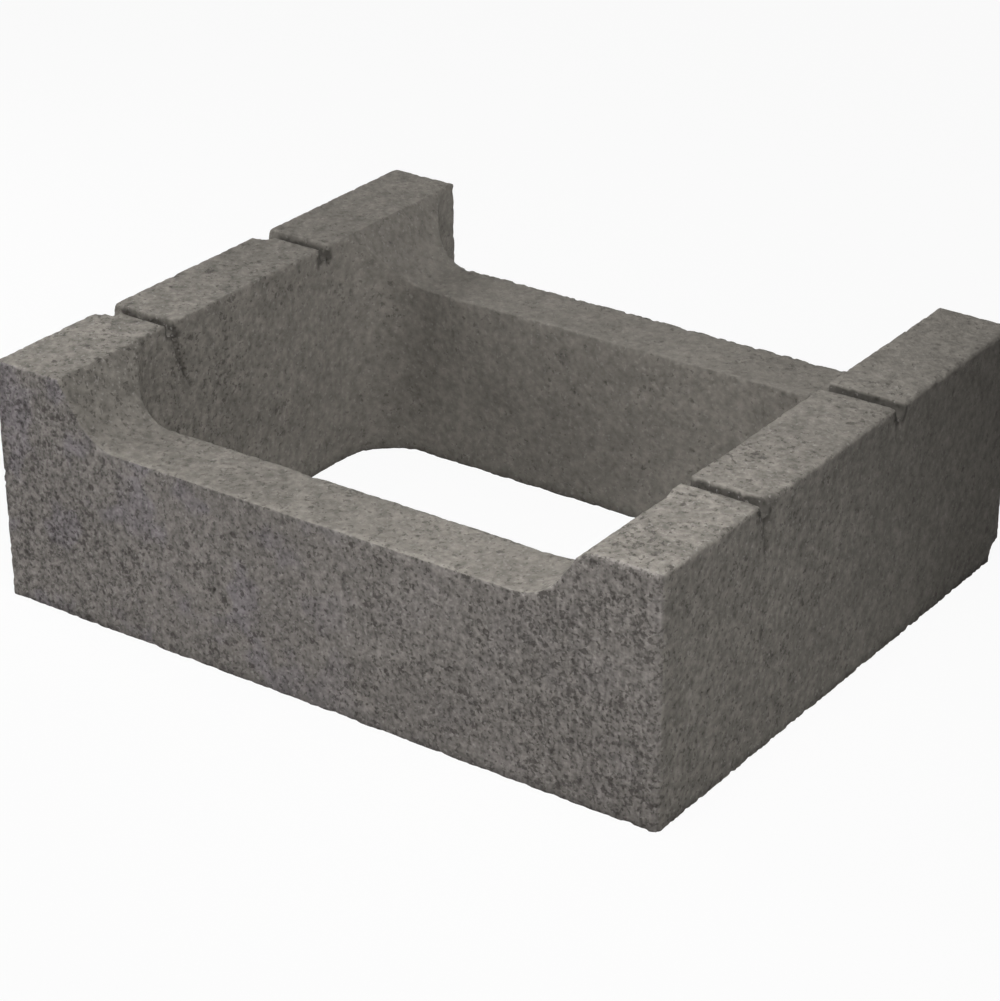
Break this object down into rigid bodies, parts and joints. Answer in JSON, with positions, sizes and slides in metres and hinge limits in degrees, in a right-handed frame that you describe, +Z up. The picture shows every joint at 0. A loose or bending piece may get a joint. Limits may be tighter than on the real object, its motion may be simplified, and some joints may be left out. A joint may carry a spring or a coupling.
{
  "type": "concrete block",
  "caption": "Cast concrete walling block: a four-sided frame around an open hole, with low front and rear walls, grooved end walls and tails that run on behind.",
  "frame": {"origin": "centre of the block's footprint, on the ground", "axes": "+X along the long front wall, towards the block's right end seen from the front; +Y from the front wall to the rear; +Z up"},
  "size_m": [0.6, 0.5, 0.2],
  "materials": {
    "concrete": "rough grey pressed concrete with fine pores"
  },
  "bodies": {
    "root": {"block": "concrete"}
  },
  "joints": []
}
